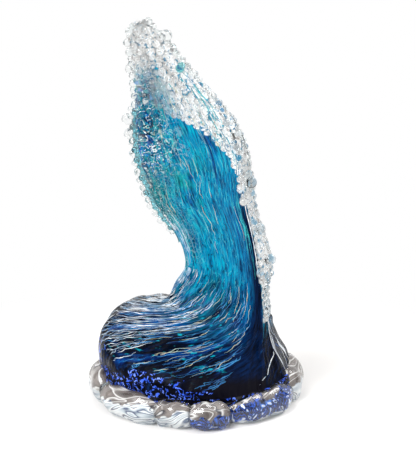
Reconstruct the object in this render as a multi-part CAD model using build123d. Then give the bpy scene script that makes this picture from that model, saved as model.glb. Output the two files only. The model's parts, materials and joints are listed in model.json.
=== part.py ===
from build123d import *
from math import asin, cos, degrees, hypot, pi, radians, sin, sqrt
import os

# A studio-glass wave: a solid, hot-sculpted breaker that rises from a round dark pool, leans left
# and ends in a clear crest under a foam of clear beads. Every gather, lobe, run and group of beads
# is its own solid, and they meet the way fused glass does. The table is at Z = 0, the viewer
# stands at -Y and the wave breaks towards -X. Lengths are in millimetres, angles in degrees.

# Driving dimensions
wave_height = 308.0
pad_radius = 75.0
pad_thickness = 12.0
pad_edge = 3.0
pool_thickness = 10.0
pool_bulge = 3.0
casing_thickness = 6.5
casing_bite = 1.5
lip_radius = 3.2
run_radius = 3.0
lobe_height = 19.0
lobe_width = 19.0
bead_radius = 3.3
large_bead_radius = 4.6
bead_seat_share = 0.82
bead_clearance = 0.1

# Flutes that the pulled glass keeps from the rim of the trough to the stem
flute_count = 18
flute_height = 1.6
points_per_flute = 4

# Rings of the wave from the pool to the crest: the height as a share of the rise above the pool,
# the centre east and north as shares of the pad radius, the slope of the ring's axis east and
# north, the half width, half thickness and bow as shares of the pad radius, the turn of the wide
# direction in degrees, and the share of the flutes' height.
ring_shares = [
    (0.000, 0.00, 0.00, 0.00, 0.00, 1.030, 1.030, 0.00, -42, 0.0),
    (0.041, -0.02, 0.01, 0.14, -0.08, 1.045, 1.035, 0.00, -42, 0.4),
    (0.079, -0.01, 0.03, 0.17, -0.11, 1.000, 0.950, 0.00, -41, 0.9),
    (0.114, 0.07, 0.06, 0.19, -0.09, 0.875, 0.700, 0.03, -40, 1.0),
    (0.151, 0.25, 0.01, 0.17, -0.07, 0.640, 0.420, 0.12, -39, 1.0),
    (0.204, 0.30, -0.01, 0.12, -0.05, 0.595, 0.260, 0.20, -39, 0.8),
    (0.281, 0.35, -0.06, 0.03, 0.00, 0.511, 0.200, 0.21, -40, 0.5),
    (0.387, 0.27, -0.02, -0.05, 0.06, 0.553, 0.180, 0.21, -42, 0.3),
    (0.483, 0.11, 0.015, -0.16, 0.12, 0.620, 0.165, 0.20, -40, 0.2),
    (0.582, 0.03, -0.065, -0.30, 0.18, 0.640, 0.155, 0.20, -36, 0.2),
    (0.697, -0.13, -0.135, -0.44, 0.26, 0.557, 0.150, 0.19, -32, 0.2),
    (0.814, -0.31, -0.23, -0.52, 0.34, 0.357, 0.140, 0.15, -28, 0.1),
    (0.916, -0.46, -0.32, -0.50, 0.34, 0.200, 0.120, 0.07, -24, 0.0),
    (0.990, -0.555, -0.39, -0.45, 0.30, 0.070, 0.065, 0.02, -20, 0.0),
]
stem_row = 6
crest_row = 11

# Foot lobes, counter-clockwise from east: name, bearing of the two ends in degrees, then height,
# width and reach as shares of the lobe height, the lobe width and the pad radius, and the twist.
lobe_shares = [
    ("front_knob", -94, -71, 1.08, 1.15, 1.075, 0),
    ("right_front_lobe", -71, -21, 0.98, 1.00, 1.045, 25),
    ("right_lobe", -21, 21, 1.02, 0.95, 1.040, -15),
    ("back_right_lobe", 21, 70, 0.92, 0.95, 1.030, 20),
    ("back_lobe", 70, 122, 1.00, 1.00, 1.035, -20),
    ("back_left_lobe", 122, 168, 0.94, 1.00, 1.035, 15),
    ("left_lobe", 168, 206, 1.06, 0.95, 1.040, -20),
    ("front_left_lobe", 206, 249, 1.00, 1.05, 1.050, 30),
    ("twisted_lobe", 249, 266, 0.86, 0.90, 1.045, 30),
]
knuckle_bearing = 208
knuckle_radius = 6.5
knuckle_height = 15.5
knuckle_reach_share = 1.065
lobe_end_share = 0.88
lobe_sections = 7
oval_points = 12
lobe_flat_share = 0.12

# Each lobe swells and narrows a little along its arc
lobe_swell_share = 0.10
lobe_swells = 2.6

# The casing's rows and the ring angles of its two edges
casing_rows = (6, 7, 8, 9, 10, 11)
casing_angles = (8, 148)
casing_steps = 8

# Threads of glass: the height share and the reach round the glass at their two ends
lip_ends = (0.14, 0.5), (0.97, 0.5)
run_top, run_bottom = 0.76, 0.16
run_reaches = {
    "right_run": [(0.060, 0.080), (0.100, 0.130), (0.145, 0.180)],
    "back_run": [(0.205, 0.235), (0.265, 0.290), (0.340, 0.365)],
}
lip_end_size = 0.6
run_end_size = 0.5
thread_lift_share = 0.6
thread_points = 8

# Foam: the glass that each group sits on, the first and the last height share with the reach round
# the glass there, and the least and most bead size as shares of the bead radius.
foam_zones = {
    "crest_beads": ("crest", (0.07, 0.0, 1.0), (0.97, 0.0, 1.0), 0.75, 1.15),
    "face_spill": ("core", (0.66, 0.90, 0.955), (0.99, 0.60, 0.955), 0.70, 1.05),
    "edge_beads": ("core", (0.42, 0.955, 0.995), (0.99, 0.955, 0.995), 0.75, 1.10),
    "upper_foam": ("casing", (0.68, 0.04, 0.96), (0.97, 0.04, 0.96), 0.80, 1.15),
    "middle_foam": ("casing", (0.35, 0.04, 0.96), (0.66, 0.04, 0.96), 0.80, 1.15),
    "lower_foam": ("casing", (0.04, 0.04, 0.96), (0.33, 0.04, 0.96), 0.80, 1.15),
    "trailing_foam": ("trough", (0.84, 0.03, 0.22), (0.97, 0.04, 0.40), 0.70, 1.05),
    "lip_beads": ("lip", (0.03, -0.15, 0.15), (0.97, -0.15, 0.15), 0.50, 0.85),
}
candidates_per_zone = 700
spread_ratios = (0.7548776662, 0.5698402910)

# Large beads and the one turquoise bit: the glass they sit on, height share and reach round it
large_bead_spots = [
    ("casing", 0.10, 0.93),
    ("casing", 0.24, 0.95),
    ("casing", 0.45, 0.96),
    ("lip", 0.80, 0.98),
    ("lip", 0.94, 0.02),
    ("crest", 0.45, 0.48),
    ("crest", 0.62, 0.02),
]
turquoise_bit_spot = ("crest", 0.10, 0.99)

pool_top = pad_thickness + pool_thickness


def spline_loop(points):
    # A smooth closed wire with one tangent at its seam. Even parameters keep a loft's surface light.
    tangent = points[1] - points[-1]
    steps = [n / len(points) for n in range(len(points) + 1)]
    return Wire(
        Edge.make_spline(points + points[:1], tangents=[tangent, tangent], parameters=steps)
    )


def ring_between(row):
    # The ring table at a whole or part row.
    low = min(int(row), len(ring_shares) - 2)
    return [a + (b - a) * (row - low) for a, b in zip(ring_shares[low], ring_shares[low + 1])]


def ring_axis(row):
    # Centre of a ring, its wide direction, its back direction and its axis.
    rise, east, north, slope_east, slope_north = ring_between(row)[:5]
    height = pool_top + rise * (wave_height - pool_top)
    axis = Vector(slope_east, slope_north, 1).normalized()
    turn = radians(ring_between(row)[8])
    flat = Vector(cos(turn), sin(turn), 0)
    wide = (flat - axis * flat.dot(axis)).normalized()
    return Vector(east * pad_radius, north * pad_radius, height), wide, axis.cross(wide), axis


def ring_point(row, angle, lift=0.0):
    # A point on a ring: angle 0 is the near edge, 90 the back, 180 the far edge, 270 the face.
    centre, wide, back, _ = ring_axis(row)
    half_width, half_thickness, bow = (share * pad_radius for share in ring_between(row)[5:8])
    c, s = cos(radians(angle)), sin(radians(angle))
    out_wide = half_thickness * c + 2 * bow * s * c * c
    out_back = half_width * s
    size = hypot(out_wide, out_back)
    lift += ring_between(row)[9] * flute_height / 2 * cos(radians(angle) * flute_count)
    along = half_width * c + lift * out_wide / size
    across = half_thickness * s + bow * (s * s - 0.5) + lift * out_back / size
    return centre + wide * along + back * across


def ring_wire(row):
    count = flute_count * points_per_flute
    return spline_loop([ring_point(row, 360 * n / count) for n in range(count)])


def parted(glass, row):
    # The glass below and above the plane of a ring.
    centre, _, _, axis = ring_axis(row)
    pieces = glass.split(Plane(origin=centre, z_dir=axis), keep=Keep.BOTH)
    return sorted(pieces, key=lambda piece: piece.center().Z)


def foot_pad():
    pad = Cylinder(pad_radius, pad_thickness, align=(Align.CENTER, Align.CENTER, Align.MIN))
    return fillet(pad.edges().group_by(Axis.Z)[0], pad_edge)


def pool_disc():
    # A thick disc whose wall bulges over the pad and ends on the trough's first ring.
    top_radius = ring_shares[0][5] * pad_radius
    wall = Edge.make_spline(
        [
            Vector(pad_radius, 0, pad_thickness),
            Vector(top_radius + pool_bulge / 2, 0, pad_thickness + pool_thickness / 2),
            Vector(top_radius, 0, pool_top),
        ]
    )
    rim = [
        Edge.make_line((top_radius, 0, pool_top), (0, 0, pool_top)),
        Edge.make_line((0, 0, pool_top), (0, 0, pad_thickness)),
        Edge.make_line((0, 0, pad_thickness), (pad_radius, 0, pad_thickness)),
    ]
    return revolve(Face(Wire([wall] + rim)), Axis.Z)


def oval(centre, side, up, half_width, half_height):
    # A smooth closed oval round a centre, in the plane of two directions.
    points = []
    for n in range(oval_points):
        turn = 2 * pi * n / oval_points
        points.append(centre + side * half_width * cos(turn) + up * half_height * sin(turn))
    return spline_loop(points)


def lobe(start, end, height_share, width_share, reach_share, twist):
    # A gather laid round the foot: full in the middle, rounded off at both ends, flat below.
    half_height = lobe_height / 2 * height_share
    half_width = lobe_width / 2 * width_share
    wires = []
    for n in range(lobe_sections):
        across = -cos(pi * n / (lobe_sections - 1))
        swell = 1 + lobe_swell_share * cos((pi * across + radians(start)) * lobe_swells)
        size = sqrt(1 - (lobe_end_share * across) ** 2) * swell
        bearing = (start + end) / 2 + across * (end - start) / 2
        outward = Vector(1, 0, 0).rotate(Axis.Z, bearing)
        forward = Axis((0, 0, 0), Vector(0, 1, 0).rotate(Axis.Z, bearing))
        side = outward.rotate(forward, twist * across)
        up = Vector(0, 0, 1).rotate(forward, twist * across)
        centre = outward * reach_share * pad_radius
        centre += Vector(0, 0, half_height * (1 - lobe_flat_share))
        wires.append(oval(centre, side, up, half_width * size, half_height * size))
    return Solid.make_loft(wires).split(Plane.XY, keep=Keep.TOP)


def casing_lift(row, share):
    # How far the casing stands off the wave, at a row and a share of the way across it.
    along = (row - casing_rows[0] + 0.5) / len(casing_rows)
    if not 0 < along < 1 or not 0 < share < 1:
        return 0
    return casing_thickness * sqrt(sin(pi * along) * sin(pi * share))


def casing():
    # The clear layer over the back of the wave, worked off at its edges.
    start, end = casing_angles
    wires = []
    for row in casing_rows:
        inner, outer = [], []
        for n in range(casing_steps + 1):
            share = n / casing_steps
            angle = start + (end - start) * share
            bite = casing_bite * sqrt(sin(pi * share)) if 0 < n < casing_steps else 0
            inner.append(ring_point(row, angle, -casing_bite))
            outer.append(ring_point(row, angle, casing_lift(row, share) + bite - casing_bite))
        wires.append(Wire([Edge.make_spline(inner), Edge.make_spline(outer[::-1])]))
    return Solid.make_loft(wires)


def seat(face, up, across):
    # The spot on a face at a height share and a reach round it, looking out of the glass.
    return Plane(origin=face.position_at(across % 1, up), z_dir=face.normal_at(across % 1, up))


def thread_on(face, first, last, radius, end_size):
    # A thread of glass laid on a face between two spots, full in the middle and drawn out at its ends.
    places, radii = [], []
    for n in range(thread_points):
        share = n / (thread_points - 1)
        up, across = (a + (b - a) * share for a, b in zip(first, last))
        places.append(seat(face, up, across))
        radii.append(radius * (end_size + (1 - end_size) * sin(pi * share)))
    wires = []
    for n, (place, size) in enumerate(zip(places, radii)):
        ahead, behind = places[min(n + 1, thread_points - 1)], places[max(n - 1, 0)]
        along = (ahead.origin - behind.origin).normalized()
        side = along.cross(place.z_dir).normalized()
        out = side.cross(along)
        wires.append(oval(place.origin + out * size * thread_lift_share, out, side, size, size))
    return Solid.make_loft(wires)


def bead_centre(radius, place):
    return place.origin + place.z_dir * (radius * bead_seat_share + bead_clearance)


def bead(radius, place):
    # A bead cut flat where it is fused to the glass below it.
    ball = Solid.make_sphere(radius, angle1=-degrees(asin(bead_seat_share)))
    return ball.moved(Plane(origin=bead_centre(radius, place), z_dir=place.z_dir).location)


def has_room(radius, place, taken):
    centre = bead_centre(radius, place)
    return all((centre - other).length > radius + size for other, size in taken)


def foam(glass_faces, taken):
    # Beads packed as close as they go without running into one another, the largest first.
    groups = {}
    for name, (glass, first, last, least, most) in foam_zones.items():
        groups[name] = []
        for n in range(candidates_per_zone):
            share, across = ((n * ratio) % 1 for ratio in spread_ratios)
            up, start, end = (a + (b - a) * share for a, b in zip(first, last))
            radius = bead_radius * (most - (most - least) * n / candidates_per_zone)
            place = seat(glass_faces[glass], up, start + (end - start) * across)
            if has_room(radius, place, taken):
                taken.append((bead_centre(radius, place), radius))
                groups[name].append(bead(radius, place))
    return {name: Compound(pieces) for name, pieces in groups.items()}


def outer_face(solid):
    return max(solid.faces(), key=lambda face: face.area)


# The wave, in one smooth loft that is parted at the stem and below the crest
wave = Solid.make_loft([ring_wire(row) for row in range(len(ring_shares))])
trough, upper_wave = parted(wave, stem_row)
wave_core, crest_tip = parted(upper_wave, crest_row)
glass_faces = {
    "crest": outer_face(crest_tip),
    "core": outer_face(wave_core),
    "trough": outer_face(trough),
}
raw_casing = casing()
raw_lip = thread_on(glass_faces["core"], *lip_ends, lip_radius, lip_end_size)
glass_faces["casing"] = outer_face(raw_casing)
glass_faces["lip"] = outer_face(raw_lip)
back_casing = raw_casing - wave
pool = pool_disc()
pad = foot_pad()
nodes = {
    "foot_pad": pad,
    "pool": pool,
    "trough": trough,
    "wave_core": wave_core,
    "crest_tip": crest_tip,
    "back_casing": back_casing,
    "lip_roll": raw_lip - wave,
}

# The foot's lobes
for name, *shares in lobe_shares:
    nodes[name] = lobe(*shares) - pad - pool - wave

# The small knuckle in the notch between two lobes on the left
knuckle_spot = Vector(knuckle_reach_share * pad_radius, 0, knuckle_height)
knuckle = Pos(knuckle_spot.rotate(Axis.Z, knuckle_bearing)) * Sphere(knuckle_radius)
nodes["rim_knuckle"] = knuckle - nodes["left_lobe"] - nodes["front_left_lobe"] - pool - wave

# The clear runs below the foam
for name, reaches in run_reaches.items():
    for n, (top, bottom) in enumerate(reaches, start=1):
        ends = (run_top, top), (run_bottom, bottom)
        rod = thread_on(glass_faces["trough"], *ends, run_radius, run_end_size)
        nodes[f"{name}_{n}"] = rod - wave

# The foam
taken = []
for n, (glass, up, across) in enumerate(large_bead_spots, start=1):
    piece = bead(large_bead_radius, seat(glass_faces[glass], up, across))
    taken.append((piece.center(), large_bead_radius))
    nodes[f"large_bead_{n}"] = piece
glass, up, across = turquoise_bit_spot
nodes["turquoise_bit"] = bead(bead_radius, seat(glass_faces[glass], up, across))
taken.append((nodes["turquoise_bit"].center(), bead_radius))
nodes.update(foam(glass_faces, taken))

os.makedirs("parts", exist_ok=True)
for name, shape in nodes.items():
    export_step(shape, f"parts/{name}.step")
    print(name, len(shape.solids()), shape.is_valid, round(shape.volume), flush=True)
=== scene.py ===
import bpy
import bmesh
import json
import random
from math import cos, pi, radians, sin
from mathutils import Matrix, Vector, noise
from mathutils.bvhtree import BVHTree
from mathutils.kdtree import KDTree


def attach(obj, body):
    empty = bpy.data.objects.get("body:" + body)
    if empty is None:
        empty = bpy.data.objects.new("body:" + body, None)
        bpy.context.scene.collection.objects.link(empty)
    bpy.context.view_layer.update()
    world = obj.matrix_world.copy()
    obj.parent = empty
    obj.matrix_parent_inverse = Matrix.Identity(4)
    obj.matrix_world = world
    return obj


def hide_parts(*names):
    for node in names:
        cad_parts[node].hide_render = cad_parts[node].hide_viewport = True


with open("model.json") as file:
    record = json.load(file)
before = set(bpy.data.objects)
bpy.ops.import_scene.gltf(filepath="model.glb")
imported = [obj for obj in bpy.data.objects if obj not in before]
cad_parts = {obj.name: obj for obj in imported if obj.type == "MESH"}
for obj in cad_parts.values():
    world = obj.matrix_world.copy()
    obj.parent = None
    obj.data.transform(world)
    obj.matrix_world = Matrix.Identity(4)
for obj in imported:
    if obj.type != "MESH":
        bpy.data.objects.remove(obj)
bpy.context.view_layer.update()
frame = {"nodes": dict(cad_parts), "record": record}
mm = 0.001
weld = 0.01 * mm

# Sizes of the wave in millimetres, as the CAD has them
wave = {"height": 308.0, "padRadius": 75.0, "poolTop": 22.0, "fluteCount": 18, "fluteHeight": 1.6}

# Rings from the pool to the crest: height share, centre east and north, slope east and north,
# half width, half thickness, bow, turn in degrees, share of the flutes
ringShares = [
    (0.000, 0.00, 0.00, 0.00, 0.00, 1.030, 1.030, 0.00, -42, 0.0),
    (0.041, -0.02, 0.01, 0.14, -0.08, 1.045, 1.035, 0.00, -42, 0.4),
    (0.079, -0.01, 0.03, 0.17, -0.11, 1.000, 0.950, 0.00, -41, 0.9),
    (0.114, 0.07, 0.06, 0.19, -0.09, 0.875, 0.700, 0.03, -40, 1.0),
    (0.151, 0.25, 0.01, 0.17, -0.07, 0.640, 0.420, 0.12, -39, 1.0),
    (0.204, 0.30, -0.01, 0.12, -0.05, 0.595, 0.260, 0.20, -39, 0.8),
    (0.281, 0.35, -0.06, 0.03, 0.00, 0.511, 0.200, 0.21, -40, 0.5),
    (0.387, 0.27, -0.02, -0.05, 0.06, 0.553, 0.180, 0.21, -42, 0.3),
    (0.483, 0.11, 0.015, -0.16, 0.12, 0.620, 0.165, 0.20, -40, 0.2),
    (0.582, 0.03, -0.065, -0.30, 0.18, 0.640, 0.155, 0.20, -36, 0.2),
    (0.697, -0.13, -0.135, -0.44, 0.26, 0.557, 0.150, 0.19, -32, 0.2),
    (0.814, -0.31, -0.23, -0.52, 0.34, 0.357, 0.140, 0.15, -28, 0.1),
    (0.916, -0.46, -0.32, -0.50, 0.34, 0.200, 0.120, 0.07, -24, 0.0),
    (0.990, -0.555, -0.39, -0.45, 0.30, 0.070, 0.065, 0.02, -20, 0.0),
]
stemRow = 6
crestRow = 11
lastRow = len(ringShares) - 1


def linear(code):
    # An sRGB hex colour as linear RGBA.
    values = [int(code[n:n + 2], 16) / 255 for n in (0, 2, 4)]
    return [v / 12.92 if v <= 0.04045 else ((v + 0.055) / 1.055) ** 2.4 for v in values] + [1.0]


def mix(a, b, share):
    return a + (b - a) * share


def ringAt(row):
    # The ring table at any row, on a smooth curve through the rows.
    low = max(0, min(int(row), lastRow - 1))
    t = row - low
    before, here, there, after = (
        ringShares[max(0, min(lastRow, low + step))] for step in (-1, 0, 1, 2)
    )
    return [
        0.5 * (2 * b + (c - a) * t + (2 * a - 5 * b + 4 * c - d) * t * t
               + (3 * b - a - 3 * c + d) * t ** 3)
        for a, b, c, d in zip(before, here, there, after)
    ]


def wavePoint(row, around):
    # A point on the wave, in metres, and its outward direction. Around runs from 0 to 1.
    rise, east, north, slopeEast, slopeNorth, *sizes, turn, flutes = ringAt(row)
    padRadius = wave["padRadius"]
    halfWidth, halfThickness, bow = (share * padRadius for share in sizes)
    axis = Vector((slopeEast, slopeNorth, 1)).normalized()
    flat = Vector((cos(radians(turn)), sin(radians(turn)), 0))
    wide = (flat - axis * flat.dot(axis)).normalized()
    back = axis.cross(wide)
    angle = 2 * pi * around
    c, s = cos(angle), sin(angle)
    out = Vector((halfThickness * c + 2 * bow * s * c * c, halfWidth * s)).normalized()
    lift = flutes * wave["fluteHeight"] / 2 * cos(angle * wave["fluteCount"])
    along = halfWidth * c + lift * out.x
    across = halfThickness * s + bow * (s * s - 0.5) + lift * out.y
    height = wave["poolTop"] + rise * (wave["height"] - wave["poolTop"])
    centre = Vector((east * padRadius, north * padRadius, height))
    return (centre + wide * along + back * across) * mm, wide * out.x + back * out.y


def addNode(tree, kind, inputs=None, stops=(), **settings):
    # Adds a node with its settings, its links and values, and the colour stops of a ramp.
    node = tree.nodes.new(kind)
    for name, value in settings.items():
        setattr(node, name, value)
    for name, value in (inputs or {}).items():
        if isinstance(value, bpy.types.NodeSocket):
            tree.links.new(value, node.inputs[name])
        else:
            node.inputs[name].default_value = value
    if stops:
        elements = node.color_ramp.elements
        while len(elements) < len(stops):
            elements.new(1.0)
        for element, (place, colour) in zip(elements, stops):
            element.position = place
            element.color = linear(colour) if isinstance(colour, str) else [colour] * 3 + [1.0]
    return node


def newMaterial(name):
    material = bpy.data.materials.new(name)
    material.use_nodes = True
    tree = material.node_tree
    tree.nodes.clear()
    return material, tree


def shadeWith(tree, shader, clearShadow=0.0):
    # Ends a material. Clear glass lets part of the light through, so its shadow stays pale.
    if clearShadow:
        path = addNode(tree, "ShaderNodeLightPath")
        share = addNode(tree, "ShaderNodeMath", {0: path.outputs["Is Shadow Ray"], 1: clearShadow},
                        operation="MULTIPLY")
        clear = addNode(tree, "ShaderNodeBsdfTransparent")
        shader = addNode(tree, "ShaderNodeMixShader",
                         {0: share.outputs[0], 1: shader.outputs[0], 2: clear.outputs[0]})
    addNode(tree, "ShaderNodeOutputMaterial", {"Surface": shader.outputs[0]})


def times(tree, value, *others):
    # All of the values multiplied. Masks are left where they overlap, and a number weakens them.
    for other in others:
        value = addNode(tree, "ShaderNodeMath", {0: value, 1: other}, operation="MULTIPLY").outputs[0]
    return value


def paint(tree, colour, coats):
    # Lays coats over a colour. A coat is a mask and the colour that shows where the mask is 1.
    for mask, coat in coats:
        coat = linear(coat) if isinstance(coat, str) else coat
        colour = addNode(tree, "ShaderNodeMix", {0: mask, 6: colour, 7: coat},
                         data_type="RGBA").outputs[2]
    return colour


# The flow of the wave's glass: how far its threads swing round the wave on their way from the pool to
# the stem, the millimetres that its UV stands for, round the skirt and from the pool to the crest, and
# the millimetres of the slow bends in its streaks
glassFlow = {"swing": 0.15, "swingRows": (0.06, 0.40), "girth": 357.0, "length": 300.0, "wobble": 50.0}


def streaks(tree, width, length, detail=3.0, roughness=0.6, warp=0.03):
    # Noise on the wave's own UV, sheared and drawn out along the flow. Sizes are in millimetres.
    uv = addNode(tree, "ShaderNodeUVMap").outputs["UV"]
    wobble = addNode(tree, "ShaderNodeTexNoise",
                     {"Vector": uv, "Scale": glassFlow["length"] / glassFlow["wobble"], "Detail": 2.0})
    centred = addNode(tree, "ShaderNodeVectorMath", {0: wobble.outputs["Color"], 1: (0.5, 0.5, 0.5)},
                      operation="SUBTRACT")
    scaled = addNode(tree, "ShaderNodeVectorMath", {0: centred.outputs[0], "Scale": warp},
                     operation="SCALE")
    bent = addNode(tree, "ShaderNodeVectorMath", {0: uv, 1: scaled.outputs[0]}, operation="ADD")
    around, up = addNode(tree, "ShaderNodeSeparateXYZ", {"Vector": bent.outputs[0]}).outputs[:2]
    low, high = glassFlow["swingRows"]
    turned = fadeIn(tree, up, low, high, glassFlow["swing"])
    across = addNode(tree, "ShaderNodeMath", {0: around, 1: turned}, operation="SUBTRACT").outputs[0]
    drawn = addNode(tree, "ShaderNodeCombineXYZ",
                    {"X": times(tree, across, glassFlow["girth"] / width),
                     "Y": times(tree, up, glassFlow["length"] / length)})
    return addNode(tree, "ShaderNodeTexNoise",
                   {"Vector": drawn.outputs[0], "Scale": 1.0, "Detail": detail,
                    "Roughness": roughness}).outputs["Fac"]


def grain(tree, size):
    # Soft noise with a grain of so many millimetres.
    place = addNode(tree, "ShaderNodeTexCoord").outputs["Object"]
    return addNode(tree, "ShaderNodeTexNoise",
                   {"Vector": place, "Scale": 1 / (size * mm), "Detail": 2.0}).outputs["Fac"]


def swirl(tree, size, stops, distortion=2.0):
    # Folded bands of colour, with folds of so many millimetres.
    place = addNode(tree, "ShaderNodeTexCoord").outputs["Object"]
    folds = addNode(tree, "ShaderNodeTexNoise",
                    {"Vector": place, "Scale": 1 / (size * mm), "Detail": 1.6, "Distortion": distortion})
    return addNode(tree, "ShaderNodeValToRGB", {"Fac": folds.outputs["Fac"]}, stops).outputs["Color"]


def curls(tree, size, width):
    # Thin curled lines, with curls of so many millimetres.
    place = addNode(tree, "ShaderNodeTexCoord").outputs["Object"]
    folds = addNode(tree, "ShaderNodeTexNoise",
                    {"Vector": place, "Scale": 1 / (size * mm), "Detail": 1.0, "Distortion": 1.2})
    return addNode(tree, "ShaderNodeMath", {0: folds.outputs["Fac"], 1: 0.5, 2: width},
                   operation="COMPARE").outputs[0]


def fadeIn(tree, value, low, high, most=1.0):
    # 0 below one limit and most above the other.
    return addNode(tree, "ShaderNodeMapRange",
                   {"Value": value, "From Min": low, "From Max": high, "To Max": most},
                   interpolation_type="SMOOTHSTEP").outputs[0]


def band(tree, value, low, high, soft):
    # 1 between two limits and 0 outside, with soft edges.
    rise, fall = (
        addNode(tree, "ShaderNodeMapRange", {"Value": value, "From Min": start, "From Max": end})
        for start, end in ((low - soft, low + soft), (high + soft, high - soft))
    )
    return times(tree, rise.outputs[0], fall.outputs[0])


# Fire-polished furnace glass: bright sharp glints, and a view of what lies behind that bends with the
# slow ripples of its skin. The ripples are in millimetres.
firePolish = {"size": 14.0, "depth": 0.4}


def clearGlass(name, tint, ripple=0.15):
    material, tree = newMaterial(name)
    place = addNode(tree, "ShaderNodeTexCoord").outputs["Object"]
    waves = addNode(tree, "ShaderNodeTexNoise",
                    {"Vector": place, "Scale": 1 / (firePolish["size"] * mm), "Detail": 1.0})
    bump = addNode(tree, "ShaderNodeBump",
                   {"Strength": ripple, "Distance": firePolish["depth"] * mm,
                    "Height": waves.outputs["Fac"]})
    glass = addNode(tree, "ShaderNodeBsdfPrincipled",
                    {"Base Color": linear(tint), "Roughness": 0.0, "IOR": 1.5,
                     "Transmission Weight": 1.0, "Normal": bump.outputs[0]})
    shadeWith(tree, glass, clearShadow=0.97)
    return material


# Clear glass of the foot pad, clouded with a painted warm grey: a painted reflection of the dark pool as
# seen through the foot
def padGlass():
    material, tree = newMaterial("clear glass clouded with painted brown-grey")
    # Painted reflection: warm grey in place of the dark pool seen through the glass
    cloud = addNode(tree, "ShaderNodeValToRGB", {"Fac": grain(tree, 14.0)},
                    [(0.35, "8f837a"), (0.6, "d3cdc8")])
    body = addNode(tree, "ShaderNodeBsdfPrincipled",
                   {"Base Color": cloud.outputs["Color"], "Roughness": 0.08,
                    "Transmission Weight": 0.75})
    shadeWith(tree, body, clearShadow=0.5)
    return material


def fritChips(tree, size, amount):
    # Crushed blue glass: the colour of each chip, and where the chips are. The size is in millimetres.
    place = addNode(tree, "ShaderNodeTexCoord").outputs["Object"]
    bend = addNode(tree, "ShaderNodeTexNoise", {"Vector": place, "Scale": 1 / (2 * size * mm)})
    bent = addNode(tree, "ShaderNodeVectorMath", {0: bend.outputs["Color"], "Scale": 1.2 * size * mm},
                   operation="SCALE")
    moved = addNode(tree, "ShaderNodeVectorMath", {0: place, 1: bent.outputs[0]}, operation="ADD")
    cells = addNode(tree, "ShaderNodeTexVoronoi", {"Vector": moved.outputs[0], "Scale": 1 / (size * mm)})
    tone, pick = addNode(tree, "ShaderNodeSeparateXYZ", {"Vector": cells.outputs["Color"]}).outputs[:2]
    colour = addNode(tree, "ShaderNodeValToRGB", {"Fac": tone},
                     [(0.0, "1c3fb0"), (0.5, "3a66ea"), (1.0, "86a4ff")])
    chosen = addNode(tree, "ShaderNodeMath", {0: pick, 1: amount}, operation="LESS_THAN")
    inside = addNode(tree, "ShaderNodeMath", {0: cells.outputs["Distance"], 1: 0.62},
                     operation="LESS_THAN")
    folds = addNode(tree, "ShaderNodeTexNoise",
                    {"Vector": place, "Scale": 1 / (1.5 * size * mm), "Detail": 1.0, "Distortion": 0.8})
    shards = addNode(tree, "ShaderNodeMath", {0: folds.outputs["Fac"], 1: 0.5, 2: 0.055},
                     operation="COMPARE")
    mask = times(tree, chosen.outputs[0], inside.outputs[0], shards.outputs[0])
    return colour.outputs["Color"], mask


# Colours of the wave's streaks, from the dark to the bright ones
waveColours = {
    "deep": [(0.38, "01020a"), (0.51, "020819"), (0.60, "03183e"), (0.69, "063864"),
             (0.77, "0d668c"), (0.86, "5f9cb0")],
    "sea": [(0.28, "001e38"), (0.39, "004c78"), (0.49, "007ca8"), (0.59, "009cbc"),
            (0.70, "00b2c4"), (0.82, "10c4c8")],
    "blue": [(0.32, "010a2c"), (0.46, "022262"), (0.57, "064a98"), (0.68, "0c7cbc"),
             (0.82, "58acd4")],
    "teal": [(0.33, "012630"), (0.44, "03586c"), (0.53, "067f8e"), (0.65, "24aaa8"),
             (0.77, "8fd6ce")],
    "green": [(0.32, "013844"), (0.46, "047c80"), (0.60, "16a8a4"), (0.78, "a8dcd4")],
    "lens": [(0.34, "012a50"), (0.44, "06588e"), (0.56, "0f9aa8"), (0.68, "5fc8c4"),
             (0.80, "e4f2f0")],
    "navy": [(0.4, "010718"), (0.62, "04214c"), (0.8, "1c6aa0")],
}
# Folds in the lenses of the curl and in the foam, the foam's tones under its beads with painted shade at
# their rims, and how much of the crackle's pale lines shows
lensFolds = [(0.32, "02204c"), (0.40, "0460b4"), (0.45, "1e9ce0"), (0.48, "044a90"),
             (0.52, "0c9aa8"), (0.56, "066e8a"), (0.60, "4fc0bc"), (0.66, "e6f2ec")]
foamFolds = [(0.31, "4f8fb8"), (0.37, "b9c8cf"), (0.41, "ffffff"), (0.53, "ffffff"),
             (0.57, "a2968f"), (0.60, "efedeb"), (0.72, "ffffff")]
# Painted shade: grey-blue at a bead's rim, white under its middle
beadRimShade = [(0.02, "7d93a1"), (0.16, "cfd0d0"), (0.30, "f6f4f2"), (0.45, "ffffff")]
crackleLines = [(0.0, 0.5), (0.05, 0.15), (0.09, 0.0)]
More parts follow.
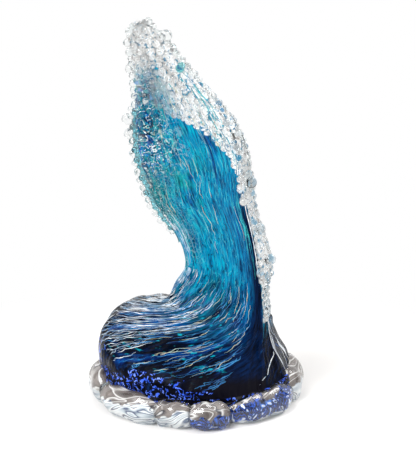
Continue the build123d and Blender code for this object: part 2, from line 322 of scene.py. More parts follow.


# Hot-pulled glass of the wave, drawn out into glossy streaks: near black at the pool, navy and blue on
# the skirt, turquoise above the stem, and milky under the foam and at the crest, with painted shade at
# the rims of the beads
def waveGlass(name):
    material, tree = newMaterial(name)
    uv = addNode(tree, "ShaderNodeUVMap").outputs["UV"]
    around, up = addNode(tree, "ShaderNodeSeparateXYZ", {"Vector": uv}).outputs[:2]
    fine = streaks(tree, 3.57, 12.5, detail=5.0, roughness=0.74)
    broad = streaks(tree, 21.0, 50.0, warp=0.05)
    colours = {
        key: addNode(tree, "ShaderNodeValToRGB", {"Fac": fine}, stops).outputs["Color"]
        for key, stops in waveColours.items()
    }
    middle = addNode(tree, "ShaderNodeMath", {0: broad, 1: 0.5}, operation="SUBTRACT").outputs[0]
    wobble = times(tree, middle, 0.5)
    height = addNode(tree, "ShaderNodeMath", {0: up, 1: wobble}, operation="ADD").outputs[0]

    # Ripples of the core: thin dark and pale lines
    ripples = streaks(tree, 8.5, 20.0, detail=2.0, warp=0.05)
    dark, pale = (
        addNode(tree, "ShaderNodeMath", {0: ripples, 1: value, 2: width}, operation="COMPARE").outputs[0]
        for value, width in ((0.44, 0.012), (0.52, 0.008))
    )
    onCore = fadeIn(tree, up, 0.34, 0.44)

    # Green and turquoise glass on the face, and crackled glass along the left lip
    green = times(tree, band(tree, up, 0.58, 0.90, 0.06), band(tree, around, 0.40, 0.76, 0.06),
                  fadeIn(tree, grain(tree, 16.0), 0.44, 0.62), 0.75)
    flecks = times(tree, band(tree, around, 0.66, 0.93, 0.04), band(tree, up, 0.14, 0.5, 0.05),
                   fadeIn(tree, streaks(tree, 5.95, 6.0, warp=0.06), 0.59, 0.70))
    place = addNode(tree, "ShaderNodeTexCoord").outputs["Object"]
    cells = addNode(tree, "ShaderNodeTexVoronoi", {"Vector": place, "Scale": 1 / (2.8 * mm)},
                    feature="DISTANCE_TO_EDGE").outputs["Distance"]
    lines = addNode(tree, "ShaderNodeValToRGB", {"Fac": cells}, crackleLines).outputs["Color"]
    crackle = paint(tree, colours["teal"], [(lines, "bfe9e6")])
    left = times(tree, band(tree, around, 0.40, 0.64, 0.05), band(tree, height, 0.50, 0.76, 0.03))

    # Thick lenses of clear and blue glass in the curl
    lens = paint(tree, colours["lens"], [
        (fadeIn(tree, grain(tree, 9.0), 0.44, 0.50), swirl(tree, 11.0, lensFolds, 1.4)),
        (times(tree, curls(tree, 6.0, 0.022), 0.9), "f2f8f6"),
        (times(tree, curls(tree, 8.0, 0.026), 0.95), "022040"),
    ])
    upper = times(tree, band(tree, around, 0.45, 0.70, 0.06), band(tree, up, 0.71, 0.90, 0.03))

    # Dark foot of the skirt, the blue near edge, and the smooth dark side beside the runs
    black = times(tree, band(tree, around, 0.20, 0.62, 0.06), band(tree, up, -1, 0.34, 0.05), 0.9)
    azure = times(tree, band(tree, around, 0.83, 1.2, 0.07), band(tree, up, 0.30, 0.66, 0.08), 0.6)
    navy = times(tree, band(tree, around, 0.915, 1.2, 0.025), band(tree, up, 0.05, 0.62, 0.04))
    smooth = times(tree, band(tree, around, 0.84, 1.2, 0.03), band(tree, up, -1, 0.17, 0.03))

    # The pool's wall with its frit
    frit, chips = fritChips(tree, 2.9, 0.9)
    wall = times(tree, band(tree, height, -1, 0.075, 0.015), band(tree, around, 0.42, 0.88, 0.06))
    ragged = addNode(tree, "ShaderNodeMath", {0: grain(tree, 7.0), 1: -0.1}, operation="ADD").outputs[0]
    onWall = addNode(tree, "ShaderNodeMath", {0: wall, 1: ragged}, operation="GREATER_THAN").outputs[0]

    # Milky glass under the foam and at the crest. It thins out over the cobalt of the curl.
    foam = addNode(tree, "ShaderNodeAttribute", attribute_name="foam").outputs["Fac"]
    # Painted shade: the milky glass is multiplied down to grey-blue at the rims of the beads
    depth = addNode(tree, "ShaderNodeValToRGB", {"Fac": foam}, beadRimShade).outputs["Color"]
    milky = addNode(tree, "ShaderNodeMix", {0: 1.0, 6: swirl(tree, 2.6, foamFolds), 7: depth},
                    data_type="RGBA", blend_type="MULTIPLY").outputs[2]
    bluish = times(tree, fadeIn(tree, grain(tree, 8.0), 0.52, 0.66), band(tree, up, -1, 0.68, 0.08))
    milky = paint(tree, milky, [(bluish, "8fbcd6")])
    cobalt = times(tree, band(tree, around, 0.42, 0.76, 0.04), band(tree, up, 0.72, 0.90, 0.02))
    thinned, thinnedCrest = (
        addNode(tree, "ShaderNodeMath", {0: full, 1: times(tree, cobalt, share)},
                operation="SUBTRACT").outputs[0]
        for full, share in ((0.95, 0.8), (1.0, 0.75))
    )
    veil = times(tree, fadeIn(tree, foam, 0.0, 0.06), thinned)
    crest = times(tree, fadeIn(tree, height, 0.85, 0.92), thinnedCrest)

    colour = paint(tree, colours["deep"], [
        (fadeIn(tree, height, 0.28, 0.45), colours["sea"]),
        (times(tree, fadeIn(tree, broad, 0.56, 0.66), 0.85), colours["blue"]),
        (times(tree, onCore, 0.8, dark), "013650"),
        (times(tree, onCore, 0.45, pale), "58c4cc"),
        (green, colours["green"]),
        (flecks, "08a4bd"),
        (left, crackle),
        (upper, lens),
        (black, "03060e"),
        (azure, colours["blue"]),
        (navy, colours["navy"]),
        (smooth, "0d0c15"),
        (wall, "04050f"),
        (times(tree, chips, onWall), frit),
        (veil, milky),
        (crest, milky),
    ])
    bump = addNode(tree, "ShaderNodeBump", {"Strength": 0.7, "Distance": 0.7 * mm, "Height": fine})
    body = addNode(tree, "ShaderNodeBsdfPrincipled",
                   {"Base Color": colour, "Roughness": 0.12, "IOR": 1.25, "Specular IOR Level": 0.15,
                    "Normal": bump.outputs[0], "Transmission Weight": times(tree, crest, 0.4)})
    shadeWith(tree, body)
    return material


# Threads of opaque glass picked up on the wave: glossy lines that go from dark to pale
def threadGlass(name, pale, dark):
    material, tree = newMaterial(name)
    colour = addNode(tree, "ShaderNodeValToRGB", {"Fac": grain(tree, 9.0)}, [(0.38, dark), (0.6, pale)])
    body = addNode(tree, "ShaderNodeBsdfPrincipled",
                   {"Base Color": colour.outputs["Color"], "Roughness": 0.15,
                    "Specular IOR Level": 0.4})
    shadeWith(tree, body)
    return material


# Folds inside the clear gathers of the foot, with painted reflections: a brown-grey reflection of the
# dark pool with thin painted highlights on top, a bright reflection of the white floor with thin dark
# lines below, and some hold blue frit with painted glints. The folds are about 36 mm long and 12 mm
# across, and the flow of a gather is in millimetres.
foldScale = (0.028, 0.085, 0.085)
paintedTopAndFrit = {"grain": 13.0, "lift": 15.0, "low": 9.2, "high": 9.9, "fritShift": -7.5, "fritEdge": 0.3}
# Painted reflection of the white floor below, with thin dark lines
paintedLowerReflectionStops = [(0.30, "0c1c40"), (0.335, "e6eef3"), (0.38, "b4c0ca"), (0.405, "14284f"),
             (0.42, "ffffff"), (0.46, "c6cfd6"), (0.475, "3d5274"), (0.49, "ffffff"),
             (0.53, "e8edf0"), (0.55, "12264e"), (0.565, "ffffff"), (0.61, "b7c2cb"),
             (0.63, "1c3666"), (0.645, "f6fafc"), (0.70, "8e9cab")]
# Painted brown-grey reflection of the dark pool on top, with thin painted highlights
paintedTopReflectionStops = [(0.30, "3e3735"), (0.40, "746b67"), (0.435, "f2f0ee"), (0.455, "6f6663"),
            (0.53, "8d847f"), (0.56, "2c2c38"), (0.575, "e6e3e1"), (0.60, "7c736f"),
            (0.70, "5a5350")]
# Blue frit with painted white glints
fritWithPaintedGlintStops = [(0.33, "f2f6fa"), (0.36, "3a70dc"), (0.42, "0a1a4c"), (0.47, "04081c"),
             (0.50, "2a5fd0"), (0.53, "0a1a50"), (0.58, "05091e"), (0.61, "4a86e8"),
             (0.64, "eef3f8"), (0.68, "0c1c50")]


def foldedGlass(name, fritBand=None):
    material, tree = newMaterial(name)
    flow = addNode(tree, "ShaderNodeAttribute", attribute_name="flow").outputs["Vector"]
    side = addNode(tree, "ShaderNodeSeparateXYZ", {"Vector": flow}).outputs["Z"]
    drawn = addNode(tree, "ShaderNodeMapping", {"Vector": flow, "Scale": foldScale})
    folds = addNode(tree, "ShaderNodeTexNoise",
                    {"Vector": drawn.outputs[0], "Scale": 1.0, "Detail": 1.4,
                     "Distortion": 0.8}).outputs["Fac"]
    below, above = (
        addNode(tree, "ShaderNodeValToRGB", {"Fac": folds}, stops).outputs["Color"]
        for stops in (paintedLowerReflectionStops, paintedTopReflectionStops)
    )
    wander = times(tree, grain(tree, paintedTopAndFrit["grain"]), paintedTopAndFrit["lift"])
    uneven = addNode(tree, "ShaderNodeMath", {0: side, 1: wander}, operation="ADD").outputs[0]
    # The painted reflection of the pool covers the upper side of the gather
    coats = [(fadeIn(tree, uneven, paintedTopAndFrit["low"], paintedTopAndFrit["high"]), above)]
    if fritBand:
        level = addNode(tree, "ShaderNodeMath", {0: uneven, 1: paintedTopAndFrit["fritShift"]}, operation="ADD")
        coats.append((band(tree, level.outputs[0], *fritBand, paintedTopAndFrit["fritEdge"]),
                      swirl(tree, 9.0, fritWithPaintedGlintStops, 1.2)))
    colour = paint(tree, below, coats)
    # Painted glow: the folds give off a little light of their own colour
    body = addNode(tree, "ShaderNodeBsdfPrincipled",
                   {"Base Color": colour, "Roughness": 0.25, "Emission Color": colour,
                    "Emission Strength": 0.10})
    shadeWith(tree, body)
    return material


# Black glass of the pool with blue frit: a dark gloss with bright blue chips
def poolGlass():
    material, tree = newMaterial("near-black glass with blue frit")
    frit, chips = fritChips(tree, 3.0, 0.55)
    body = addNode(tree, "ShaderNodeBsdfPrincipled",
                   {"Base Color": paint(tree, linear("04050f"), [(chips, frit)]), "Roughness": 0.08,
                    "Specular IOR Level": 0.4})
    shadeWith(tree, body)
    return material


materials = {
    "clear": clearGlass("clear furnace glass", "f4f7f7"),
    "bead": clearGlass("clear glass beads", "f6f8f8", ripple=0.0),
    "run": clearGlass("clear glass runs", "e6ebf0"),
    "pad": padGlass(),
    # The folds materials carry painted reflections, painted highlights and a painted glow
    "folds": foldedGlass("folds with painted reflections inside clear glass"),
    "knob": foldedGlass("folds with painted reflections and navy and blue frit below", (-12.0, 2.5)),
    "mottled": foldedGlass("folds with blue and white frit", (-4.5, 7.5)),
    "bit": clearGlass("turquoise glass bit", "54c4c8", ripple=0.0),
    "wave": waveGlass("hot-pulled blue and turquoise glass"),
    "white": threadGlass("silver-white glass threads", "f2f6f9", "6f97b8"),
    "cream": threadGlass("cream glass threads", "d9d3b0", "8fb5b4"),
    "blue": threadGlass("blue glass threads", "3f93cf", "0a4488"),
    "cyan": threadGlass("turquoise glass threads", "2fb9c2", "056a94"),
    "pool": poolGlass(),
    "lip": clearGlass("pale turquoise glass with bubbles", "7fc6d2"),
}
slotMaterials = {
    "clear_glass": "clear", "run_glass": "run", "foam_glass": "bead", "pool_glass": "pool",
    "trough_glass": "wave", "wave_glass": "wave", "lip_glass": "lip", "turquoise_bit_glass": "bit",
}
ownMaterials = {"foot_pad": "pad"}
slotOf = {entry["node"]: entry["material_slot"] for entry in frame["record"]["subparts"]}
print("materials made")


def meshOf(form, name):
    mesh = bpy.data.meshes.new(name)
    form.to_mesh(mesh)
    form.free()
    return mesh


def addPiece(name, form, material, replaced=()):
    mesh = meshOf(form, name)
    mesh.materials.append(material)
    for polygon in mesh.polygons:
        polygon.use_smooth = True
    piece = bpy.data.objects.new(name, mesh)
    bpy.context.collection.objects.link(piece)
    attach(piece, "root")
    if replaced:
        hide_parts(*replaced)
    return piece


def solidTree(names):
    # One search tree over several CAD solids.
    vertices, faces = [], []
    for name in names:
        mesh = frame["nodes"][name].data
        start = len(vertices)
        vertices += [v.co.copy() for v in mesh.vertices]
        faces += [tuple(start + index for index in p.vertices) for p in mesh.polygons]
    return BVHTree.FromPolygons(vertices, faces)


# Foam of clear beads. A zone has the rows and the reach round the wave at its lower and upper end,
# the bead radii in millimetres and the number of tries. Stand is how far the middle of a bead is off
# the glass, in radii.
foamZones = {
    "crest_beads": {"low": (10.9, 0.0, 1.0), "high": (13.05, 0.0, 1.0), "radii": (1.3, 3.2),
                    "tries": 4200},
    "face_spill": {"low": (8.3, 0.955, 0.99), "high": (11.0, 0.64, 0.99), "radii": (1.3, 2.7),
                   "tries": 2600, "bend": 1.5},
    "edge_beads": {"low": (8.0, 0.965, 1.045), "high": (11.0, 0.96, 1.05), "radii": (1.8, 3.2),
                   "tries": 800},
    "upper_foam": {"low": (9.6, 0.02, 0.47), "high": (11.0, 0.02, 0.47), "radii": (1.4, 2.9),
                   "tries": 2700, "stand": 0.3},
    "middle_foam": {"low": (8.0, 0.015, 0.46), "high": (9.65, 0.02, 0.47), "radii": (1.4, 2.9),
                    "tries": 3100, "stand": 0.3},
    "lower_foam": {"low": (6.3, 0.015, 0.44), "high": (8.05, 0.015, 0.46), "radii": (1.4, 2.7),
                   "tries": 3100, "stand": 0.15},
    "trailing_foam": {"low": (4.9, 0.03, 0.22), "high": (6.35, 0.012, 0.42), "radii": (1.3, 2.9),
                      "tries": 700},
    "lip_beads": {"low": (7.0, 0.465, 0.535), "high": (10.9, 0.46, 0.54), "radii": (1.5, 2.8),
                  "tries": 700},
    "lens_bubbles": {"low": (9.5, 0.54, 0.62), "high": (10.9, 0.52, 0.68), "radii": (1.8, 4.2),
                     "tries": 160},
    "crest_bubbles": {"low": (10.1, 0.54, 0.68), "high": (11.3, 0.50, 0.78), "radii": (0.9, 2.2),
                      "tries": 700},
    "lip_bubbles": {"low": (7.3, 0.52, 0.60), "high": (9.6, 0.52, 0.63), "radii": (0.6, 1.3),
                    "tries": 420},
}
# How the beads are packed: the two ratios spread the tries evenly over a zone, and sizes are in
# millimetres
packing = {"ratios": (0.7548776662, 0.5698402910), "stand": 0.45, "closeness": 0.9, "castFrom": 12,
           "cell": 6.5}
foamBase = solidTree(["trough", "wave_core", "crest_tip", "back_casing", "lip_roll"])
beadSpots = {}
crowd = {}


def cellOf(point):
    return tuple(int(value // (packing["cell"] * mm)) for value in point)


def isFree(centre, radius):
    x, y, z = cellOf(centre)
    for dx in (-1, 0, 1):
        for dy in (-1, 0, 1):
            for dz in (-1, 0, 1):
                for other, size in crowd.get((x + dx, y + dy, z + dz), ()):
                    if (centre - other).length < (radius + size) * packing["closeness"]:
                        return False
    return True


def packFoam(zone):
    # The seats of a zone's beads, largest first, where they crowd no other bead.
    beads = []
    least, most = (radius * mm for radius in zone["radii"])
    lowRow, lowStart, lowEnd = zone["low"]
    highRow, highStart, highEnd = zone["high"]
    for n in range(zone["tries"]):
        share, across = ((n * ratio) % 1 for ratio in packing["ratios"])
        row = mix(lowRow, highRow, share)
        start = mix(lowStart, highStart, share ** zone.get("bend", 1))
        around = mix(start, mix(lowEnd, highEnd, share), across)
        radius = mix(most, least, n / zone["tries"])
        point, out = wavePoint(min(row, lastRow), around)
        seat, normal = foamBase.ray_cast(point + out * packing["castFrom"] * mm, -out)[:2]
        if seat is None:
            continue
        if normal.dot(out) < 0:
            normal = -normal
        centre = seat + normal * radius * zone.get("stand", packing["stand"])
        if isFree(centre, radius):
            crowd.setdefault(cellOf(centre), []).append((centre, radius))
            beads.append((centre, radius))
    return beads


for zoneName, zone in foamZones.items():
    beadSpots[zoneName] = packFoam(zone)
    form = bmesh.new()
    for centre, radius in beadSpots[zoneName]:
        bmesh.ops.create_icosphere(form, subdivisions=2, radius=radius,
                                   matrix=Matrix.Translation(centre))
    replaced = [zoneName] if zoneName in frame["nodes"] else []
    addPiece(zoneName + "_foam", form, materials["bead"], replaced)
print("foam made:", sum(len(beads) for beads in beadSpots.values()), "beads")

allBeads = [bead for name, beads in beadSpots.items() if "bubbles" not in name for bead in beads]
beadTree = KDTree(len(allBeads))
for n, (centre, radius) in enumerate(allBeads):
    beadTree.insert(centre, n)
beadTree.balance()

# The white of the glass under a bead, fading to painted shade at its rim: its reach in bead radii, how
# soon it is full, the tone of the darkest bead and the step from one bead's tone to the next
underBead = {"reach": 1.55, "gain": 1.4, "darkest": 0.45, "step": 0.618}


def foamAt(point):
    # The tone of the nearest bead under its middle, falling through painted shade to 0 just outside its
    # rim.
    n, distance = beadTree.find(point)[1:]
    reach = allBeads[n][1] * underBead["reach"]
    tone = underBead["darkest"] + (1 - underBead["darkest"]) * (n * underBead["step"] % 1)
    return max(0, min(1, underBead["gain"] * (1 - distance / reach))) * tone


def ripple(row, around, height, size):
    # Uneven pulls in the glass, stretched along the flow and without a seam.
    place = Vector((cos(2 * pi * around) * size, sin(2 * pi * around) * size, row * 0.6))
    return noise.noise(place) * height


def gridForm(aroundSteps, upSteps):
    # A grid with a UV map and the attribute of the foam, to be laid on the wave.
    form = bmesh.new()
    uvLayer = form.loops.layers.uv.new("UVMap")
    foamLayer = form.verts.layers.float.new("foam")
    bmesh.ops.create_grid(form, x_segments=aroundSteps, y_segments=upSteps, size=0.5)
    return form, uvLayer, foamLayer


# The wave's skins. Each lies on a CAD solid between two rows, rippled by so many millimetres, and the
# ripples fade towards the seams between the skins. The crest is closed above so many millimetres.
waveSkins = {
    "trough_skin": {"node": "trough", "rows": (0.0, stemRow), "steps": (528, 150), "ripple": 0.9},
    "core_skin": {"node": "wave_core", "rows": (stemRow, crestRow), "steps": (360, 220), "ripple": 0.6},
    "crest_skin": {"node": "crest_tip", "rows": (crestRow, lastRow), "steps": (200, 90), "ripple": 0.4,
                   "closedAbove": 290},
}
seamFade = 12
ripplesRound = (14, 34)
skins = {}


def waveSkin(name, skin):
    tree = solidTree([skin["node"]])
    form, uvLayer, foamLayer = gridForm(*skin["steps"])
    for vertex in form.verts:
        around, share = vertex.co.x + 0.5, vertex.co.y + 0.5
        row = mix(*skin["rows"], share)
        for loop in vertex.link_loops:
            loop[uvLayer].uv = (around, row / lastRow)
        point, out = wavePoint(row, around)
        nearest = tree.find_nearest(point)[0]
        fade = min(1, share * seamFade)
        if "closedAbove" not in skin:
            fade = min(fade, (1 - share) * seamFade)
        lift = ripple(row, around, skin["ripple"], ripplesRound[0])
        lift += ripple(row, around, skin["ripple"] / 2, ripplesRound[1])
        vertex.co = nearest + out * lift * mm * fade
        vertex[foamLayer] = foamAt(vertex.co)
    bmesh.ops.remove_doubles(form, verts=form.verts, dist=weld)
    if "closedAbove" in skin:
        rims = [edge for edge in form.edges if edge.is_boundary]
        top = [edge for edge in rims if edge.verts[0].co.z > skin["closedAbove"] * mm]
        bmesh.ops.edgeloop_fill(form, edges=top)
    skins[name] = BVHTree.FromBMesh(form)
    addPiece(name, form, materials["wave"], [skin["node"]])


for skinName, skin in waveSkins.items():
    waveSkin(skinName, skin)

# The casing's skin over the back, laid on the solids from outside
casing = {"rows": (5.8, 11.2), "reach": (0.005, 0.44), "steps": (150, 200), "castFrom": 14, "lift": 0.06}
form, uvLayer, foamLayer = gridForm(*casing["steps"])
for vertex in form.verts:
    around = mix(*casing["reach"], vertex.co.x + 0.5)
    row = mix(*casing["rows"], vertex.co.y + 0.5)
    for loop in vertex.link_loops:
        loop[uvLayer].uv = (around, row / lastRow)
    point, out = wavePoint(row, around)
    seat = foamBase.ray_cast(point + out * casing["castFrom"] * mm, -out)[0] or point
    vertex.co = seat + out * casing["lift"] * mm
    vertex[foamLayer] = foamAt(vertex.co)
addPiece("casing_skin", form, materials["wave"], ["back_casing"])
print("wave skins made")

# Threads of glass that lie on the skin along the flow. A group has the skin, the reach round the wave
# and up it, the length up the wave, the half widths in millimetres and the count.
threadGroups = {
    "skirt_threads": {"skin": "trough_skin", "around": (0.34, 0.72), "up": (0.085, 0.31),
                      "length": (0.03, 0.11), "width": (0.10, 0.40), "count": 215, "glass": "white"},
    "face_threads": {"skin": "trough_skin", "around": (0.66, 0.90), "up": (0.13, 0.42),
                     "length": (0.02, 0.07), "width": (0.10, 0.28), "count": 60, "glass": "cream"},
    "blue_threads": {"skin": "trough_skin", "around": (0.60, 0.90), "up": (0.10, 0.40),
                     "length": (0.02, 0.08), "width": (0.12, 0.42), "count": 170, "glass": "blue"},
    "stem_threads": {"skin": "trough_skin", "around": (0.50, 0.64), "up": (0.32, 0.455),
                     "length": (0.05, 0.12), "width": (0.10, 0.26), "count": 42, "glass": "white"},
    "lower_core_threads": {"skin": "core_skin", "around": (0.50, 0.64), "up": (0.465, 0.56),
                           "length": (0.03, 0.09), "width": (0.10, 0.24), "count": 30,
                           "glass": "white"},
    "turquoise_threads": {"skin": "core_skin", "around": (0.58, 0.96), "up": (0.465, 0.80),
                          "length": (0.03, 0.12), "width": (0.10, 0.34), "count": 110,
                          "glass": "cyan"},
    "cream_core_threads": {"skin": "core_skin", "around": (0.60, 0.90), "up": (0.50, 0.80),
                           "length": (0.02, 0.08), "width": (0.10, 0.24), "count": 34,
                           "glass": "cream"},
    "near_edge_thread": {"skin": "trough_skin", "around": (0.985, 0.985), "up": (0.12, 0.12),
                         "length": (0.34, 0.34), "width": (0.5, 0.5), "count": 1, "glass": "white"},
    "near_edge_top_thread": {"skin": "core_skin", "around": (0.985, 0.985), "up": (0.464, 0.464),
                             "length": (0.19, 0.19), "width": (0.45, 0.45), "count": 1,
                             "glass": "white"},
}
threadSteps = 16
threadTops = {"trough_skin": stemRow / lastRow, "core_skin": 0.86}
threadSection = ((-1, -0.15), (-0.45, 0.42), (0.45, 0.42), (1, -0.15))  # across and up, in half widths
chance = random.Random(11)


def smoothShare(value, low, high):
    t = max(0, min(1, (value - low) / (high - low)))
    return t * t * (3 - 2 * t)


def threadSeats(skin, n, around, up, length):
    # Points along a thread with the skin's normals. It swings with the flow, and wanders round the wave
    # in long bends and small ones.
    seats = []
    for step in range(threadSteps + 1):
        place = up + length * (step / threadSteps)
        swung = smoothShare(place, *glassFlow["swingRows"]) - smoothShare(up, *glassFlow["swingRows"])
        wander = 0.012 * noise.noise(Vector((n * 7.3, place * 24, 0)))
        wander += 0.005 * noise.noise(Vector((n * 5.1, place * 95, 3)))
        point = wavePoint(place * lastRow, around + glassFlow["swing"] * swung + wander)[0]
        seats.append(skin.find_nearest(point)[:2])
    return seats


def addThreads(name, group):
    form = bmesh.new()
    columns = len(threadSection) - 1
    for n in range(group["count"]):
        around, up, length, width = (chance.uniform(*group[key])
                                     for key in ("around", "up", "length", "width"))
        length = min(length, threadTops[group["skin"]] - up)
        seats = threadSeats(skins[group["skin"]], n, around, up, length)
        ribbon = bmesh.ops.create_grid(form, x_segments=columns, y_segments=threadSteps, size=0.5)
        for vertex in ribbon["verts"]:
            step = round((vertex.co.y + 0.5) * threadSteps)
            across, lift = threadSection[round((vertex.co.x + 0.5) * columns)]
            seat, normal = seats[step]
            ahead, behind = seats[min(step + 1, threadSteps)][0], seats[max(step - 1, 0)][0]
            side = (ahead - behind).cross(normal).normalized()
            size = width * sin(pi * (0.04 + 0.92 * (step / threadSteps))) ** 0.6  # thin at both ends
            size *= 1 + 0.5 * noise.noise(Vector((n * 3.1, step * 0.6, 5)))
            vertex.co = seat + side * across * size * mm + normal * lift * size * mm
    bmesh.ops.recalc_face_normals(form, faces=form.faces)
    addPiece(name, form, materials[group["glass"]])


for threadName, group in threadGroups.items():
    addThreads(threadName, group)
print("threads made")

for nodeName, node in frame["nodes"].items():
    for holder in node.material_slots:
        holder.material = materials[ownMaterials.get(nodeName, slotMaterials[slotOf[nodeName]])]
    for polygon in node.data.polygons:
        polygon.use_smooth = True

# Gathers of the foot, counter-clockwise from east: the bearings of the two ends, then height, width
# and reach as shares, the twist, how far the top is drawn up, the depth of the ridges in millimetres
# and what is inside
lobes = {
    "front_knob": (-94, -71, 1.10, 1.22, 1.065, 0, 1.10, 0.15, "knob"),
    "right_front_lobe": (-73, -19, 1.00, 1.10, 1.030, 25, 1.25, 0.3, "mottled"),
    "right_lobe": (-24, 23, 1.02, 1.00, 1.035, -15, 1.50, 0.2, "folds"),
    "back_right_lobe": (18, 72, 0.98, 1.00, 1.030, 20, 1.40, 0.2, "mottled"),
    "back_lobe": (68, 124, 1.00, 1.05, 1.030, -20, 1.30, 0.2, "mottled"),
    "back_left_lobe": (120, 170, 0.98, 1.00, 1.035, 15, 1.40, 0.2, "folds"),
    "left_lobe": (166, 208, 1.06, 1.00, 1.040, -20, 1.50, 0.2, "folds"),
    "front_left_lobe": (204, 252, 1.02, 1.15, 1.040, 25, 1.32, 0.2, "folds"),
    "twisted_lobe": (246, 269, 0.95, 1.00, 1.040, 30, 1.30, 0.8, "folds"),
}
lobeSizes = {"height": 19.0, "width": 19.0, "seat": 0.88, "steps": 56, "sides": 40}
lobeLayers = {"glass": {"share": 1, "arc": 0.98, "drop": 0},
              "folds": {"share": 0.84, "arc": 0.84, "drop": 0.5}}
flowRadius = 9  # of the section that the folds follow, in millimetres


def lobePoint(shape, layer, across, angle):
    # A point of a gather, in millimetres. Across runs from -1 to 1 along the gather.
    start, end, height, width, reach, twist, drawn, ridges = shape
    bearing = radians(mix(start, end, (across * layer["arc"] + 1) / 2))
    swell = 1 + 0.05 * cos((pi * across + radians(start)) * 2.6)  # thick and thin places along it
    size = (1 - (0.95 * across) ** 4) ** 0.5 * swell * layer["share"]  # rounded ends
    outward = Vector((cos(bearing), sin(bearing), 0))
    middle = lobeSizes["height"] / 2 * height * lobeSizes["seat"] * drawn - layer["drop"]
    centre = outward * reach * wave["padRadius"] + Vector((0, 0, middle))
    lean = radians(twist * across)
    x = lobeSizes["width"] / 2 * width * size * cos(angle)
    z = lobeSizes["height"] / 2 * height * size * drawn * sin(angle)
    place = centre + outward * (x * cos(lean) - z * sin(lean))
    place += Vector((0, 0, x * sin(lean) + z * cos(lean)))
    pull = 0.5 * noise.noise(place / 16) + 0.2 * noise.noise(place / 6)  # waves of 16 and 6 mm
    pull += ridges * sin(3 * angle + 4 * across + start)  # three ridges that wind along it
    place += (place - centre).normalized() * pull * size
    return Vector((place.x, place.y, max(place.z, 0.0)))


def lobePiece(lobeName, layerName, shape, material, replaced=()):
    form = bmesh.new()
    flowLayer = form.verts.layers.float_vector.new("flow")
    bmesh.ops.create_grid(form, x_segments=lobeSizes["sides"], y_segments=lobeSizes["steps"], size=0.5)
    start, end = shape[:2]
    halfArc = radians(end - start) / 2 * wave["padRadius"]
    for vertex in form.verts:
        angle = 2 * pi * (vertex.co.x + 0.5)
        across = -cos(pi * (vertex.co.y + 0.5))
        vertex.co = lobePoint(shape, lobeLayers[layerName], across, angle) * mm
        vertex[flowLayer] = Vector((across * halfArc + start, flowRadius * cos(angle),
                                    flowRadius * sin(angle)))
    bmesh.ops.remove_doubles(form, verts=form.verts, dist=weld)
    bmesh.ops.edgeloop_fill(form, edges=[edge for edge in form.edges if edge.is_boundary])
    bmesh.ops.recalc_face_normals(form, faces=form.faces)
    addPiece(lobeName + "_" + layerName, form, material, replaced)


# Each gather is a clear glass shell over an inner body of folds with painted reflections
for lobeName, (*shape, inside) in lobes.items():
    lobePiece(lobeName, "glass", shape, materials["clear"], [lobeName])
    lobePiece(lobeName, "folds", shape, materials[inside])
print("foot made")

# Floor, daylight, cards, softboxes and camera. Places are in metres.
stage = {"floorSize": 6.0, "floorHeight": -0.3 * mm, "fadeToWhite": (0.14, 0.30), "daylight": 0.8,
         "middle": (0, 0, 0.15)}
cards = {
    "dark card left": {"size": (0.55, 1.7), "place": (-1.36, 0.63, 0.55), "colour": "4a403b"},
    "dark card right": {"size": (0.55, 1.7), "place": (1.36, 0.63, 0.55), "colour": "4a403b"},
    "dark card above": {"size": (1.6, 0.5), "place": (0, 0.5, 1.6), "colour": "5a4f4a"},
    "dark card behind the camera": {"size": (4.4, 2.8), "place": (0, -2.2, 0.9), "colour": "3a3432"},
}
softboxes = {
    "softbox left": {"size": (0.5, 0.7), "place": (-0.6, -0.6, 1.1), "power": 12},
    "softbox right": {"size": (0.4, 0.6), "place": (0.65, 0.35, 1.1), "power": 6},
}
view = {"lens": 119.8, "place": (0.0096, -1.2, 0.4555), "aim": (0.0096, 0.0, 0.1335)}


def seenRays(tree):
    # 1 for what the camera sees, straight on, in a reflection or through glass.
    path = addNode(tree, "ShaderNodeLightPath").outputs
    seen = path["Is Camera Ray"]
    for kind in ("Is Glossy Ray", "Is Transmission Ray"):
        seen = addNode(tree, "ShaderNodeMath", {0: seen, 1: path[kind]}, operation="ADD",
                       use_clamp=True).outputs[0]
    return seen


# White paper sweep: matt and faintly warm near the piece, and pure white farther out
def paperSweep():
    material, tree = newMaterial("white paper sweep")
    paper = addNode(tree, "ShaderNodeBsdfPrincipled",
                    {"Base Color": linear("f5f3f1"), "Roughness": 0.9, "Specular IOR Level": 0.1})
    place = addNode(tree, "ShaderNodeTexCoord").outputs["Object"]
    distance = addNode(tree, "ShaderNodeVectorMath", {0: place}, operation="LENGTH").outputs["Value"]
    white = addNode(tree, "ShaderNodeEmission", {"Color": linear("ffffff"), "Strength": 1.0})
    far = times(tree, seenRays(tree), fadeIn(tree, distance, *stage["fadeToWhite"]))
    both = addNode(tree, "ShaderNodeMixShader", {0: far, 1: paper.outputs[0], 2: white.outputs[0]})
    shadeWith(tree, both)
    return material


form = bmesh.new()
bmesh.ops.create_grid(form, x_segments=1, y_segments=1, size=stage["floorSize"] / 2)
floor = bpy.data.objects.new("floor", meshOf(form, "floor"))
floor.location.z = stage["floorHeight"]
floor.data.materials.append(paperSweep())
bpy.context.collection.objects.link(floor)

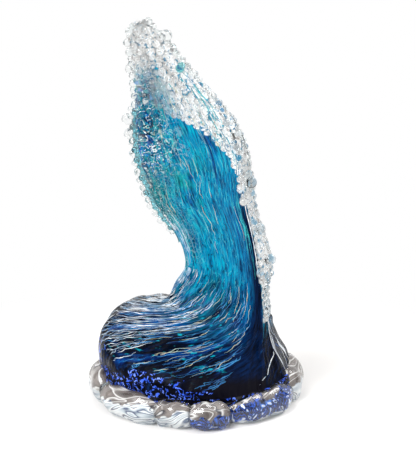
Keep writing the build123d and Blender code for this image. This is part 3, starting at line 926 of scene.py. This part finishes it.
world = bpy.data.worlds.new("studio")
bpy.context.scene.world = world
world.use_nodes = True
worldTree = world.node_tree
worldTree.nodes.clear()
daylight, white = (
    addNode(worldTree, "ShaderNodeBackground", {"Color": linear("ffffff"), "Strength": strength})
    for strength in (stage["daylight"], 1.0)
)
sky = addNode(worldTree, "ShaderNodeMixShader",
              {0: seenRays(worldTree), 1: daylight.outputs[0], 2: white.outputs[0]})
addNode(worldTree, "ShaderNodeOutputWorld", {"Surface": sky.outputs[0]})


def facing(place, front):
    # The turn that points the front axis from a place to the middle of the stage.
    return (Vector(stage["middle"]) - Vector(place)).to_track_quat(front, "Y")


for cardName, card in cards.items():
    # Cards that only reflections and glass see
    form = bmesh.new()
    bmesh.ops.create_grid(form, x_segments=1, y_segments=1, size=0.5)
    width, height = card["size"]
    turned = facing(card["place"], "Z")
    for vertex in form.verts:
        corner = Vector((vertex.co.x * width, vertex.co.y * height, 0))
        vertex.co = turned @ corner + Vector(card["place"])
    mesh = meshOf(form, cardName)
    material, tree = newMaterial(cardName)
    glow = addNode(tree, "ShaderNodeEmission", {"Color": linear(card["colour"]), "Strength": 1.0})
    shadeWith(tree, glow)
    mesh.materials.append(material)
    board = bpy.data.objects.new(cardName, mesh)
    board.visible_camera = False
    board.visible_diffuse = False
    board.visible_shadow = False
    bpy.context.collection.objects.link(board)
bpy.data.objects["dark card behind the camera"].visible_transmission = False

for lightName, softbox in softboxes.items():
    lamp = bpy.data.lights.new(lightName, "AREA")
    lamp.shape = "RECTANGLE"
    lamp.size, lamp.size_y = softbox["size"]
    lamp.energy = softbox["power"]
    light = bpy.data.objects.new(lightName, lamp)
    light.location = softbox["place"]
    light.rotation_euler = facing(softbox["place"], "-Z").to_euler()
    bpy.context.collection.objects.link(light)

cameraData = bpy.data.cameras.new("camera")
cameraData.sensor_width = 36
cameraData.lens = view["lens"]
camera = bpy.data.objects.new("camera", cameraData)
camera.location = view["place"]
camera.rotation_euler = (Vector(view["aim"]) - Vector(view["place"])).to_track_quat("-Z", "Y").to_euler()
bpy.context.collection.objects.link(camera)

scene = bpy.context.scene
scene.camera = camera
scene.render.engine = "CYCLES"
scene.render.resolution_x = 416
scene.render.resolution_y = 468
scene.cycles.samples = 64
scene.cycles.use_denoising = True
scene.cycles.max_bounces = 14
scene.cycles.transmission_bounces = 12
scene.cycles.transparent_max_bounces = 12
scene.view_settings.view_transform = "Standard"
print("stage made")
